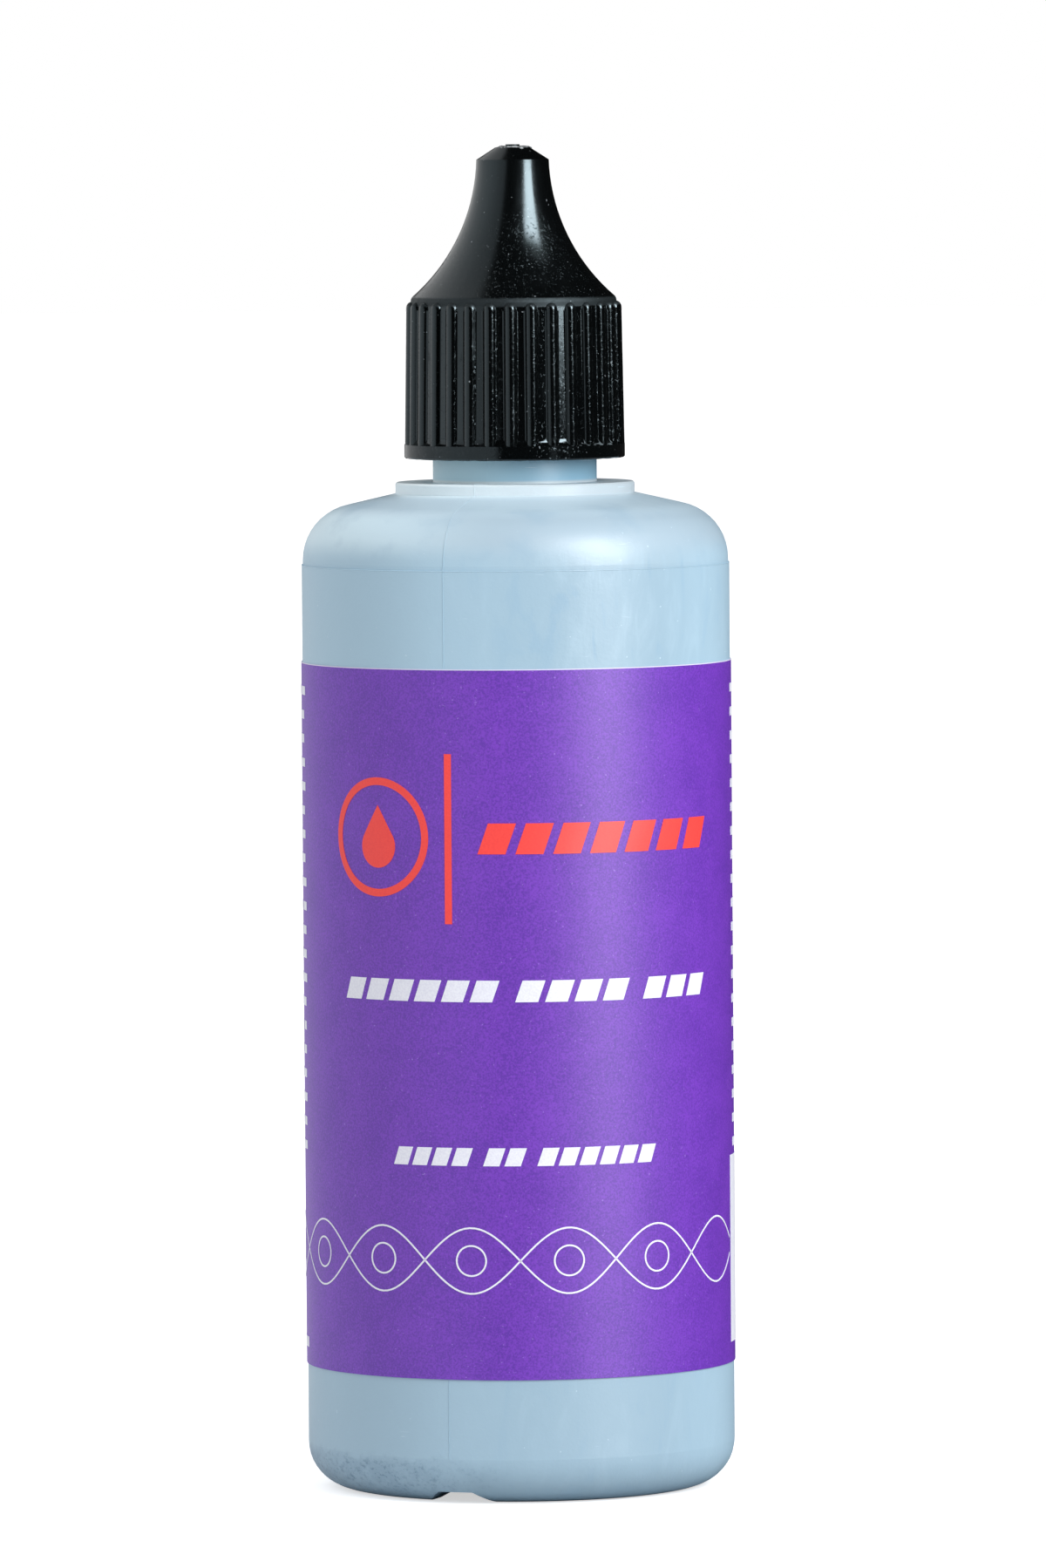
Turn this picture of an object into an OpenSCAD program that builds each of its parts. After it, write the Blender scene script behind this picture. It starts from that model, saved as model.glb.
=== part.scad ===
// Squeeze bottle of bicycle chain wax, 100 ml: a blow-moulded bottle, a drip nozzle pressed
// into its neck, a fluted screw cap over the nozzle, a wrap label, and the wax inside.
// The bottle stands on z = 0 with its axis on Z, and the front of the label faces -Y.

/* [Bottle body] */
// Outer diameter of the body
body_d = 42; // [34:0.5:56]
// Height of the mould line where the body meets the shoulder
body_h = 90.8; // [60:0.2:140]
// Thickness of the blown wall
wall = 0.9; // [0.6:0.05:1.3]
// Radius at which the wall turns under the base
base_corner_r = 4.5; // [3:0.25:6]
// Thickness of the base
base_t = 1.3; // [1:0.05:2]
// Width of the ring that the bottle stands on
ring_w = 2; // [1:0.1:3.5]
// Height of the arch at its middle
arch_h = 2.2; // [1.4:0.1:3]

/* [Shoulder and neck] */
// Radius of the corner between wall and shoulder
shoulder_corner_r = 5.5; // [4:0.25:7]
// Fall of the shoulder away from the collar, in degrees
shoulder_fall = 13; // [8:0.5:18]
// Height from the mould line to where the shoulder starts to curve
shoulder_lift = 0.44; // [0.2:0.02:1.5]
// How far the shoulder's half of the mould stands in from the body's
mould_step = 0.11; // [0.02:0.01:0.15]
// Outer diameter of the neck between its threads
neck_d = 16.1; // [13:0.1:19.5]
// Thickness of the neck's wall
neck_wall = 1.15; // [0.9:0.05:1.5]
// How far the collar stands out of the neck
collar_out = 3.7; // [2.6:0.1:4.4]
// Height of the collar's edge
collar_t = 1.1; // [0.6:0.05:2]
// Gap between the collar and the closed cap
collar_gap = 2.35; // [0.5:0.05:5]

/* [Pinch-off] */
// Bearing of the mould's parting plane from the front, in degrees
parting_angle = -19.6; // [-60:0.1:60]
// Width of the pinch-off slot at the ground
slot_w = 6.8; // [4:0.1:8]
// Width of the slot's flat roof
slot_roof_w = 3.5; // [1:0.1:3.8]
// Depth of the slot
slot_h = 1.15; // [0.5:0.05:1.3]
// Width of the weld bead across the arch
bead_w = 0.8; // [0.5:0.05:1.5]
// Height of the weld bead
bead_h = 0.4; // [0.2:0.05:0.8]

/* [Nozzle] */
// Clearance between the nozzle's plug and the neck's bore
plug_clear = 0.05; // [0.02:0.01:0.1]
// Depth of the plug below the neck's mouth
plug_depth = 7.5; // [6:0.25:10]
// Thickness of the plug's wall
plug_wall = 0.9; // [0.7:0.05:1.1]
// Thickness of the flange that rests on the neck's mouth
flange_t = 0.9; // [0.7:0.05:1.3]
// Radius of the spout where it leaves the flange
spout_base_r = 4.6; // [3.8:0.1:5.2]
// Clearance around the spout's tip inside the bell
tip_room = 0.6; // [0.3:0.05:0.8]
// Clearance above the spout's tip
tip_gap = 0.4; // [0.2:0.05:0.8]
// Radius of the hole that the wax drips from
orifice_r = 0.8; // [0.6:0.05:1]
// Length of the straight part of that hole
orifice_l = 2; // [1.5:0.1:3]

/* [Cap] */
// Room between neck and cap for the thread
thread_room = 1.1; // [0.9:0.05:1.4]
// Thickness of the cap's wall at the rim
rim_t = 1.68; // [1.5:0.01:2.2]
// Height of the plain rim
rim_h = 1.35; // [1:0.05:2]
// Chamfer on the rim's lower outer edge
rim_chamfer = 0.12; // [0.05:0.01:0.25]
// Radius in which the grooves run out at the rim
ledge_r = 0.8; // [0.65:0.05:1]
// Depth of the threaded part of the cap
bore_depth = 15; // [12.4:0.1:18]
// Height of the bell's edge above the roof of the threaded part
bell_rise = 0.68; // [0.4:0.02:1.6]
// Clearance between the cap's stop and the nozzle's flange
seat_gap = 0.1; // [0.05:0.05:0.3]
// Width of the stop that bears on the flange
stop_w = 0.45; // [0.3:0.05:1]
// Number of grip ribs
rib_count = 31; // [20:1:37]
// Radius of a grip rib
rib_r = 0.65; // [0.5:0.05:0.8]
// How far the ribs stand out of the skirt
rib_out = 0.5; // [0.3:0.05:0.6]
// Radius of the fillet along the foot of a rib
rib_root_r = 0.3; // [0.15:0.05:0.35]
// Distance of the ribs' rounded tops below the bell's edge
rib_crown = 0.33; // [0.2:0.01:0.8]
// Draft of the skirt and its ribs, in degrees
draft = 0.9; // [0.4:0.1:1.2]
// Bearing of the first rib from the front, in degrees
rib_bearing = -1.9; // [-6:0.1:6]

/* [Bell] */
// Radius of the bell's hollow curve
bell_r = 18.4; // [15.2:0.1:22.2]
// Radius of the tip
tip_r = 3.55; // [3.2:0.05:4.3]
// Thickness of the bell's wall
bell_wall = 1.2; // [1:0.05:1.4]
// Radius of the bell's outer edge
bell_edge_r = 0.65; // [0.3:0.05:0.8]
// Distance of the tip's chamfer below the level where the bell's curve stands upright
chamfer_drop = 0.54; // [0.3:0.02:1]
// Height of the tip's chamfer
chamfer_h = 1.19; // [0.8:0.01:1.3]
// Radius of the tip's flat top
top_r = 1.7; // [1.5:0.05:2.4]
// Radius of the gate mark left on the top
gate_r = 0.7; // [0.4:0.05:0.85]
// Height of the gate mark
gate_h = 0.3; // [0.1:0.05:0.4]
// Thickness of the tip above the spout
tip_t = 1.97; // [1.6:0.01:2.4]
// Clearance around the pin that closes the nozzle
pin_clear = 0.2; // [0.05:0.05:0.3]
// How far that pin reaches into the nozzle
pin_reach = 0.9; // [0.5:0.1:1.4]

/* [Label and wax] */
// Height of the label's lower edge
label_z = 12.3; // [7:0.1:16]
// Distance of the label's upper edge below the mould line
label_drop = 9.5; // [4:0.1:20]
// Thickness of the label
label_t = 0.1; // [0.06:0.01:0.2]
// Thickness of the glue behind it
glue_t = 0.02; // [0.01:0.01:0.05]
// Gap between the label's ends at the back
label_gap = 2; // [1:0.5:6]
// Distance of the wax's surface below the mould line
wax_drop = 10; // [2:0.1:50]
// Clearance between wax and wall
wax_clear = 0.05; // [0.02:0.01:0.1]

/* [Hidden] */
$fn = 96;
// Length of cuts that run past the object
far = 200;
// Depth by which neighbouring shapes of one piece run into each other
lap = 1;
// A straight edge starts this far inside the arc that it leaves, so that the two cross cleanly
arc_lap = 0.002;

body_r = body_d / 2;
neck_r = neck_d / 2;
neck_bore_r = neck_r - neck_wall;
mouth_chamfer = 0.3;
collar_r = neck_r + collar_out;
collar_chamfer = 0.15;

// Centre of the corner between wall and shoulder
shoulder_x = body_r - mould_step - shoulder_corner_r;
shoulder_z = body_h + shoulder_lift;
// Height of the shoulder's slope at radius r, for a surface that lies depth inside the outer one
function slope_z(r, depth) =
    shoulder_z + (shoulder_corner_r - depth) / cos(shoulder_fall)
    - (r - shoulder_x) * tan(shoulder_fall);
collar_top = slope_z(collar_r, 0) + collar_t;
neck_h = collar_gap + bore_depth - seat_gap - flange_t;
neck_top = collar_top + neck_h;
// The arch is part of a sphere that meets the ground at arch_r
arch_r = body_r - base_corner_r - ring_w;
arch_sphere_r = (arch_r * arch_r + arch_h * arch_h) / (2 * arch_h);

// Half section of the skirt: the ribs stand on it, and it leans in by the draft
cap_z = collar_top + collar_gap;
cap_bore_r = neck_r + thread_room;
cap_stop_r = neck_r - stop_w;
rim_r = cap_bore_r + rim_t;
rim_lead = 0.3;
skirt_h = bore_depth + bell_rise;
skirt_r = rim_r - rib_out;
skirt_top_r = skirt_r - (skirt_h - rim_h) * tan(draft);
rib_flush = 0.02;
rib_sink = 0.2;
// Level at which the groove's floor passes into its run-out
ledge_z = rim_h + sqrt(pow(ledge_r, 2) - pow(ledge_r - rib_out, 2));
// The fillet beside a rib: distance of the groove's floor from the rib's axis, and the place of
// the fillet's own axis. It bites a little into rib and floor, so that it crosses both cleanly
root_bite = 0.005;
floor_out = rib_r + rib_flush - rib_out;
root_reach = rib_r + rib_root_r - root_bite;
root_drop = (pow(root_reach, 2) - pow(floor_out + rib_root_r, 2)) / (2 * skirt_r);
root_out = floor_out - root_drop + rib_root_r - root_bite;
root_aside = sqrt(pow(root_reach, 2) - pow(root_out, 2));
rib_top = skirt_h - rib_crown - rib_r;
// Centre of the bell's hollow curve, which stands upright at the tip's radius
bell_x = tip_r + bell_r;
bell_z = skirt_h + sqrt(pow(bell_r, 2) - pow(bell_x - skirt_top_r, 2));
// The bell's outer edge is rounded by a circle that touches the skirt and the hollow curve
edge_x = skirt_top_r - bell_edge_r;
edge_z = bell_z - sqrt(pow(bell_r + bell_edge_r, 2) - pow(bell_x - edge_x, 2));
edge_share = bell_edge_r / (bell_r + bell_edge_r);
edge_top = [edge_x + (bell_x - edge_x) * edge_share, edge_z + (bell_z - edge_z) * edge_share];
chamfer_z = bell_z - chamfer_drop;
chamfer_r = bell_x - sqrt(pow(bell_r, 2) - pow(chamfer_drop, 2));
cap_top = chamfer_z + chamfer_h;
dish_w = 0.4;
dish_r = top_r - dish_w;
dish_h = 0.15;
ceiling_z = cap_top - tip_t;

plug_r = neck_bore_r - plug_clear;
plug_relief = 0.05;
plug_lead = 0.5;
plug_ring_r = 0.35;
plug_ring_z = [-2, -5];
flange_r = neck_r;
spout_root = 0.5;
spout_wall = 0.9;
spout_tip_r = tip_r - bell_wall - tip_room;
spout_h = seat_gap - bore_depth + ceiling_z - tip_gap;
lip_chamfer = 0.2;
pin_r = orifice_r - pin_clear;
pin_l = pin_reach + tip_gap;

label_r = body_r + glue_t;
label_h = body_h - label_drop - label_z;
label_gap_angle = 360 * label_gap / (2 * PI * label_r);
wax_level = body_h - wax_drop;

// Half section of the bottle's body and shoulder, for a surface that lies depth inside the
// outer one, with the shoulder's slope ending at radius top_x
module body_section(depth, top_x) {
    corner = shoulder_corner_r - depth;
    slope_start = corner - arc_lap;
    translate([0, depth]) square([body_r - base_corner_r, base_corner_r]);
    translate([body_r - base_corner_r, base_corner_r]) circle(base_corner_r - depth);
    translate([0, base_corner_r]) square([body_r - depth, body_h - base_corner_r]);
    translate([0, body_h - lap]) square([body_r - mould_step - depth, shoulder_lift + lap]);
    translate([shoulder_x, shoulder_z]) circle(corner);
    polygon([
        [0, shoulder_z],
        [shoulder_x, shoulder_z],
        [shoulder_x + slope_start * sin(shoulder_fall), shoulder_z + slope_start * cos(shoulder_fall)],
        [top_x, slope_z(top_x, depth)],
        [0, slope_z(top_x, depth)]
    ]);
}

// Bar with sloped flanks that lies across the base on the parting plane
module pinch_bar(width, roof, height) {
    flank = (width - roof) / (2 * height);
    rotate([90, 0, parting_angle]) linear_extrude(far, center = true)
        polygon([
            [-width / 2 - flank * lap, -lap],
            [-roof / 2, height],
            [roof / 2, height],
            [width / 2 + flank * lap, -lap]
        ]);
}

// Space inside the bottle's wall, below the neck; extra narrows it on all sides
module cavity(extra) {
    difference() {
        rotate_extrude() difference() {
            intersection() {
                body_section(wall + extra, neck_bore_r);
                square([far, far]);
            }
            translate([-lap, -lap]) square([far, base_t + extra + lap]);
        }
        translate([0, 0, arch_h - arch_sphere_r]) sphere(arch_sphere_r + base_t + extra);
        pinch_bar(slot_w + 2 * (wall + extra), slot_roof_w + 2 * (wall + extra), slot_h + wall + extra);
    }
}

// Hollow under the base, with the weld bead standing in it
module arch() {
    translate([0, 0, arch_h - arch_sphere_r]) difference() {
        sphere(arch_sphere_r);
        difference() {
            rotate([0, 0, parting_angle])
                translate([-bead_w / 2, -arch_r, 0]) cube([bead_w, 2 * arch_r, 2 * arch_sphere_r]);
            sphere(arch_sphere_r - bead_h);
        }
    }
}

module bottle() {
    color([0.66, 0.77, 0.86]) difference() {
        rotate_extrude() union() {
            intersection() {
                body_section(0, collar_r);
                square([far, far]);
            }
            polygon([
                [0, collar_top - collar_t - lap],
                [collar_r, collar_top - collar_t - lap],
                [collar_r, collar_top - collar_chamfer],
                [collar_r - collar_chamfer, collar_top],
                [neck_r, collar_top],
                [neck_r, neck_top - mouth_chamfer],
                [neck_r - mouth_chamfer, neck_top],
                [0, neck_top]
            ]);
        }
        cavity(0);
        translate([0, 0, shoulder_z]) cylinder(h = far, r = neck_bore_r);
        arch();
        pinch_bar(slot_w, slot_roof_w, slot_h);
    }
}

module nozzle_insert() {
    tip_z = flange_t + spout_h;
    color([0.93, 0.94, 0.95]) translate([0, 0, neck_top]) rotate_extrude() difference() {
        union() {
            polygon([
                [0, -plug_depth],
                [plug_r - plug_lead, -plug_depth],
                [plug_r - plug_relief, plug_lead - plug_depth],
                [plug_r - plug_relief, 0],
                [flange_r, 0],
                [flange_r, flange_t - lip_chamfer],
                [flange_r - lip_chamfer, flange_t],
                [spout_base_r + spout_root, flange_t],
                [spout_base_r, flange_t + spout_root],
                [spout_tip_r, tip_z - lip_chamfer],
                [spout_tip_r - lip_chamfer, tip_z],
                [0, tip_z]
            ]);
            for (z = plug_ring_z)
                translate([plug_r - plug_ring_r, z]) circle(plug_ring_r);
        }
        polygon([
            [-lap, -plug_depth - lap],
            [plug_r - plug_wall, -plug_depth - lap],
            [plug_r - plug_wall, -flange_t],
            [spout_base_r - spout_wall, 0],
            [orifice_r, tip_z - orifice_l],
            [orifice_r, tip_z + lap],
            [-lap, tip_z + lap]
        ]);
    }
}

// One round-topped grip rib, standing on its own base, with the fillets along its foot
module grip_rib() {
    height = (rib_top - rim_h + rib_sink) / cos(draft);
    touch = rib_r / root_reach;
    rotate_extrude() union() {
        square([rib_r, height]);
        intersection() {
            translate([0, height]) circle(rib_r, $fn = 32);
            translate([0, height - rib_r]) square([rib_r, 3 * rib_r]);
        }
    }
    linear_extrude(height - rib_root_r / 2) difference() {
        polygon([
            [-rib_r / 2, -root_aside],
            [root_out - rib_root_r / 2, -root_aside],
            [root_out * touch, -root_aside * touch],
            [root_out * touch, root_aside * touch],
            [root_out - rib_root_r / 2, root_aside],
            [-rib_r / 2, root_aside]
        ]);
        for (side = [-1, 1])
            translate([root_out, side * root_aside]) circle(rib_root_r, $fn = 32);
    }
}

// Half section of the cap's outside
module cap_section() {
    polygon([
        [0, 0],
        [rim_r - rim_chamfer, 0],
        [rim_r, rim_chamfer],
        [rim_r, rim_h - ledge_r / 4],
        [skirt_r, rim_h - ledge_r / 4],
        [skirt_r, ledge_z],
        [skirt_top_r, edge_z],
        [edge_x, edge_z],
        [edge_top[0], edge_top[1]],
        [0, edge_top[1]]
    ]);
    difference() {
        translate([skirt_r - lap / 2, rim_h - lap / 2]) square([rib_out + lap / 2, ledge_z - rim_h + lap / 2]);
        translate([skirt_r + ledge_r - arc_lap, ledge_z]) circle(ledge_r);
    }
    intersection() {
        translate([edge_x, edge_z]) circle(bell_edge_r);
        translate([edge_x, edge_z]) square([2 * bell_edge_r, edge_top[1] - edge_z]);
    }
    difference() {
        polygon([
            [0, edge_top[1]],
            [edge_top[0], edge_top[1]],
            [edge_top[0], chamfer_z],
            [chamfer_r, chamfer_z],
            [top_r, cap_top],
            [dish_r, cap_top],
            [dish_r, cap_top - dish_h],
            [gate_r, cap_top - dish_h],
            [gate_r, cap_top + gate_h],
            [0, cap_top + gate_h]
        ]);
        translate([bell_x, bell_z]) circle(bell_r);
    }
}

// Half section of the cap's hollow: the threaded bore, the stop and the inside of the bell
module cap_hollow() {
    polygon([
        [-lap, -lap],
        [cap_bore_r + rim_lead + lap, -lap],
        [cap_bore_r, rim_lead],
        [cap_bore_r, bore_depth],
        [-lap, bore_depth]
    ]);
    difference() {
        translate([-lap, bore_depth - lap]) square([cap_stop_r + lap, ceiling_z - bore_depth + lap]);
        translate([bell_x, bell_z]) circle(bell_r + bell_wall);
    }
}

module cap() {
    color([0.05, 0.055, 0.06]) translate([0, 0, cap_z]) {
        difference() {
            union() {
                rotate_extrude() cap_section();
                for (i = [0 : rib_count - 1])
                    rotate([0, 0, rib_bearing - 90 + i * 360 / rib_count])
                        translate([rim_r - rib_flush - rib_r, 0, rim_h - rib_sink])
                            rotate([0, -draft, 0]) grip_rib();
            }
            rotate_extrude() intersection() {
                cap_hollow();
                translate([0, -2 * lap]) square([far, far]);
            }
        }
        translate([0, 0, ceiling_z - pin_l]) cylinder(h = pin_l + lap / 2, r = pin_r);
    }
}

module label() {
    color([0.42, 0.24, 0.68]) translate([0, 0, label_z])
        rotate([0, 0, 90 + label_gap_angle / 2])
            rotate_extrude(angle = 360 - label_gap_angle)
                translate([label_r, 0]) square([label_t, label_h]);
}

module wax_fill() {
    color([0.45, 0.58, 0.68]) intersection() {
        cavity(wax_clear);
        cylinder(h = wax_level, r = body_r);
    }
}

bottle();
nozzle_insert();
cap();
label();
wax_fill();
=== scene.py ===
import math
import random

import bpy
from mathutils import Matrix, Vector


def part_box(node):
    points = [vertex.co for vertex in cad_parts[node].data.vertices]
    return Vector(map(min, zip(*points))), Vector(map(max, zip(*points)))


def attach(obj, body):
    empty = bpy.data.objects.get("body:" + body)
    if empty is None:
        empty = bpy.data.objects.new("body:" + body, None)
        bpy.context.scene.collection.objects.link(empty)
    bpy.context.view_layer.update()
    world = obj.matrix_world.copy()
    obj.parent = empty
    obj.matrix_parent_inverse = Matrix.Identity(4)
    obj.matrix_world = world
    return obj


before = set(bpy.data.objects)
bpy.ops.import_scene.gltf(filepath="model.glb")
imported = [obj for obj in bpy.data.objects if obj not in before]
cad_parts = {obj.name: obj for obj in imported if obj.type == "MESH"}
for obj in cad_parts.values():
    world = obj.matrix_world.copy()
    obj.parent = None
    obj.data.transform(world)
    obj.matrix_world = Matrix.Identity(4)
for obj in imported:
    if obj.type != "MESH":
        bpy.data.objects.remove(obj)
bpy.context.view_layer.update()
mm = 0.001

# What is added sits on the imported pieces, so its place comes from their boxes
labelLow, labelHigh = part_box("label")
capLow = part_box("cap")[0]
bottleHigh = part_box("bottle")[1]
labelR = -labelLow.y
bodyR = bottleHigh.x


def atBearing(bearing, radius, z):  # a point so many degrees to the right of the front
    turn = math.radians(bearing)
    return Vector((radius * math.sin(turn), -radius * math.cos(turn), z))


# Shader helpers
def addNode(tree, kind, inputs=None, **settings):  # an input is a value or another node's socket
    made = tree.nodes.new("ShaderNode" + kind)
    for key, value in settings.items():
        setattr(made, key, value)
    for key, value in (inputs or {}).items():
        if isinstance(value, bpy.types.NodeSocket):
            tree.links.new(value, made.inputs[key])
        else:
            made.inputs[key].default_value = value
    return made


def startMaterial(name, roughness, **sockets):
    material = bpy.data.materials.new(name)
    material.use_nodes = True
    tree = material.node_tree
    shader = tree.nodes["Principled BSDF"]
    shader.inputs["Roughness"].default_value = roughness
    for key, value in sockets.items():
        shader.inputs[key.replace("_", " ")].default_value = value
    objectPlace = tree.nodes.new("ShaderNodeTexCoord").outputs["Object"]
    place = addNode(tree, "Mapping", {"Vector": objectPlace, "Scale": (1 / mm, 1 / mm, 1 / mm)})
    return material, tree, shader, place.outputs["Vector"]


def stretched(tree, place, x, y, z):  # the same place in millimetres, scaled along each axis
    return addNode(tree, "Mapping", {"Vector": place, "Scale": (x, y, z)}).outputs["Vector"]


def noise(tree, place, scale, detail=2.0, roughness=0.5, distortion=0.0):
    inputs = {"Vector": place, "Scale": scale, "Detail": detail, "Roughness": roughness,
              "Distortion": distortion}
    return addNode(tree, "TexNoise", inputs).outputs["Fac"]


def share(tree, value, low, high, toLow=0.0, toHigh=1.0):  # smooth step from low to high
    inputs = {"Value": value, "From Min": low, "From Max": high, "To Min": toLow, "To Max": toHigh}
    return addNode(tree, "MapRange", inputs, interpolation_type="SMOOTHSTEP").outputs["Result"]


def calc(tree, operation, first, second):
    return addNode(tree, "Math", {0: first, 1: second}, operation=operation).outputs["Value"]


def mixColour(tree, amount, first, second):
    return addNode(tree, "Mix", {0: amount, 6: first, 7: second}, data_type="RGBA").outputs[2]


def addBump(tree, shader, height, depth):  # depth in metres for the full height
    bump = addNode(tree, "Bump", {"Height": height, "Distance": depth, "Strength": 1.0})
    tree.links.new(bump.outputs["Normal"], shader.inputs["Normal"])


# Materials
milkyLook = {
    "wall": (0.318, 0.464, 0.572, 1),
    "paintedLight": (0.415, 0.605, 0.740, 1),    # painted light, paler on the left of the wall and at its right edge
    "cloud": (0.385, 0.540, 0.650, 1),
    "drainedAndShade": (0.262, 0.420, 0.560, 1),
    "sediment": (0.125, 0.225, 0.340, 1),
    "shoulder": (0.350, 0.486, 0.585, 1),
    # The shoulder's round, with a paler copy for its left side that paints light
    "round": (0.382, 0.504, 0.598, 1),
    "roundPaintedLight": (0.620, 0.800, 0.900, 1),
    "slope": (0.490, 0.640, 0.745, 1),    # painted light, paler towards the neck against the shade under the collar and cap
    # Collar and neck tones, each with a paler copy for its left side that paints light
    "collar": (0.500, 0.585, 0.640, 1),
    "collarPaintedLight": (0.770, 0.890, 0.945, 1),
    "neck": (0.265, 0.485, 0.640, 1),
    "neckPaintedLight": (0.540, 0.810, 0.940, 1),
    "scratch": (0.620, 0.760, 0.850, 1),
    "roughness": 0.40, "ior": 1.51,
    # Heights in mm above the ground
    "sedimentTop": 4.4, "liquidLevel": 80.8, "mouldLine": 90.8, "slopeTop": 96.8,
    "collarLow": 97.4, "neckLow": 99.0,
    # Places in mm to the right of the middle, from where a tone sets in to where it is full
    "paintedLightSpan": (9.0, -10.0), "paintedLightEdge": (13.0, 20.5), "roundSpan": (0.0, -18.0),
    "collarSpan": (8.0, -9.0), "neckSpan": (4.0, -7.0), "veilSpan": (-12.0, 0.0),
    "sedimentSpan": (2.0, -15.0),
    "cloudy": 0.7, "clear": 0.6, "paintedEdgeLight": 0.6, "blotched": 0.30, "scratched": 0.5,
    "ragged": 4.0,         # mm by which the sediment's edge wanders
    "pebble": 0.014 * mm,
    "swell": 1.2,          # height of the wide unevenness as a multiple of the fine one
}


def makeMilkyPlastic():
    look = milkyLook
    material, tree, shader, place = startMaterial("milkyPlastic", look["roughness"], IOR=look["ior"])
    x, y, z = addNode(tree, "SeparateXYZ", {"Vector": place}).outputs
    line = look["mouldLine"]
    colour = mixColour(tree, share(tree, z, line - 0.1, line + 0.1), look["wall"], look["shoulder"])
    # Painted light: the left side of the wall is made paler than the right
    paintedLight = share(tree, x, *look["paintedLightSpan"])
    bend = mixColour(tree, share(tree, x, *look["roundSpan"]), look["round"], look["roundPaintedLight"])
    # Cloudy runs hang down the inside of the wall above the liquid
    runs = noise(tree, stretched(tree, place, 1, 1, 0.34), 0.26, 5.0, 0.58, 1.6)
    above = share(tree, z, look["liquidLevel"] - 1, look["liquidLevel"] + 3, 0.42, 1.0)
    above = calc(tree, "MULTIPLY", above, share(tree, z, line + 4.7, line, 0.1, 1.0))
    veil = calc(tree, "MULTIPLY", above, share(tree, x, *look["veilSpan"], 0.1, 1.0))
    light = calc(tree, "MULTIPLY", share(tree, runs, 0.48, 0.72), veil)
    dark = calc(tree, "MULTIPLY", share(tree, runs, 0.47, 0.33), veil)
    colour = mixColour(tree, calc(tree, "MULTIPLY", light, look["cloudy"]), colour, look["cloud"])
    colour = mixColour(tree, calc(tree, "MULTIPLY", dark, look["clear"]), colour, look["drainedAndShade"])
    # Painted light: the left of the wall and its right edge are made paler, as if lit more
    wall = calc(tree, "MULTIPLY", paintedLight, share(tree, z, 20.0, look["liquidLevel"], 0.45, 0.85))
    wall = calc(tree, "ADD", wall, share(tree, x, *look["paintedLightEdge"], 0.0, look["paintedEdgeLight"]))
    colour = mixColour(tree, wall, colour, look["paintedLight"])
    # Painted light on the shoulder's round: paler on the left, darker on the right
    colour = mixColour(tree, share(tree, z, line + 0.5, line + 3.2), colour, bend)
    # Painted light: the slope grows paler towards the neck, lifting the shade under the collar
    colour = mixColour(tree, share(tree, z, look["slopeTop"] - 1.3, look["slopeTop"]), colour, look["slope"])
    # Soft blotches lie on the shoulder
    blotch = share(tree, noise(tree, stretched(tree, place, 1, 1, 1.5), 0.16, 5.0, 0.55), 0.48, 0.70)
    blotch = calc(tree, "MULTIPLY", blotch, share(tree, z, line, line + 1.5, 0.0, look["blotched"]))
    blotch = calc(tree, "MULTIPLY", blotch, share(tree, z, look["collarLow"], look["slopeTop"]))
    colour = mixColour(tree, blotch, colour, look["drainedAndShade"])
    # Painted light: collar and neck are paler on the left than on the right
    collar = mixColour(tree, share(tree, x, *look["collarSpan"]), look["collar"], look["collarPaintedLight"])
    neck = mixColour(tree, share(tree, x, *look["neckSpan"]), look["neck"], look["neckPaintedLight"])
    colour = mixColour(tree, share(tree, z, look["collarLow"], look["collarLow"] + 0.5), colour, collar)
    colour = mixColour(tree, share(tree, z, look["neckLow"] - 0.1, look["neckLow"] + 0.2), colour, neck)
    # Sediment has settled in the corner of the base, ragged towards its upper edge
    ragged = noise(tree, place, 0.42, 5.0, 0.65)
    grains = noise(tree, stretched(tree, place, 1, 1, 1.3), 1.9, 4.0, 0.7)
    edge = calc(tree, "ADD", z, calc(tree, "MULTIPLY", ragged, look["ragged"]))
    settled = share(tree, edge, look["sedimentTop"] + 2.4, look["sedimentTop"] + 1.2)
    settled = calc(tree, "MULTIPLY", settled, share(tree, grains, 0.48, 0.66, 0.40, 1.0))
    settled = calc(tree, "MULTIPLY", settled, share(tree, ragged, 0.40, 0.58, 0.45, 1.0))
    settled = calc(tree, "MULTIPLY", settled, share(tree, x, *look["sedimentSpan"], 0.0, 0.90))
    colour = mixColour(tree, settled, colour, look["sediment"])
    # Painted shade: darker along the bottom edge, towards the floor
    colour = mixColour(tree, share(tree, z, 2.0, 0.0, 0.0, 0.6), colour, look["drainedAndShade"])
    # A few fine scratches and specks
    rubs = noise(tree, stretched(tree, place, 0.16, 0.16, 2.6), 1.3, 2.0, 0.5, 0.4)
    specks = noise(tree, place, 2.2, 1.0, 0.4)
    marks = calc(tree, "MAXIMUM", share(tree, rubs, 0.735, 0.765), share(tree, specks, 0.785, 0.81))
    colour = mixColour(tree, calc(tree, "MULTIPLY", marks, look["scratched"]), colour, look["scratch"])
    tree.links.new(colour, shader.inputs["Base Color"])
    swell = calc(tree, "MULTIPLY", noise(tree, place, 0.55), look["swell"])
    grain = calc(tree, "ADD", noise(tree, place, 3.0, 3.0, 0.6), swell)
    addBump(tree, shader, grain, look["pebble"])
    return material


capLook = {
    "black": (0.0014, 0.0018, 0.0020, 1),
    "dust": (0.22, 0.25, 0.27, 1),
    "sheen": (0.72, 0.91, 1.0, 1),
    "roughness": 0.2, "ior": 1.58,
    "edgeZ": 116.55, "edgeWidth": 0.55,               # mm above the ground; the bell's edge is worn dull
    "tipZ": 125.0,
    "pit": 0.014, "ripple": 0.010, "skin": 0.0042,    # depths in mm
    "edgeWear": 0.42,      # by how much the worn edge is rougher
    "ribGloss": 0.11,      # and by how much the skirt is smoother
}


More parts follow.
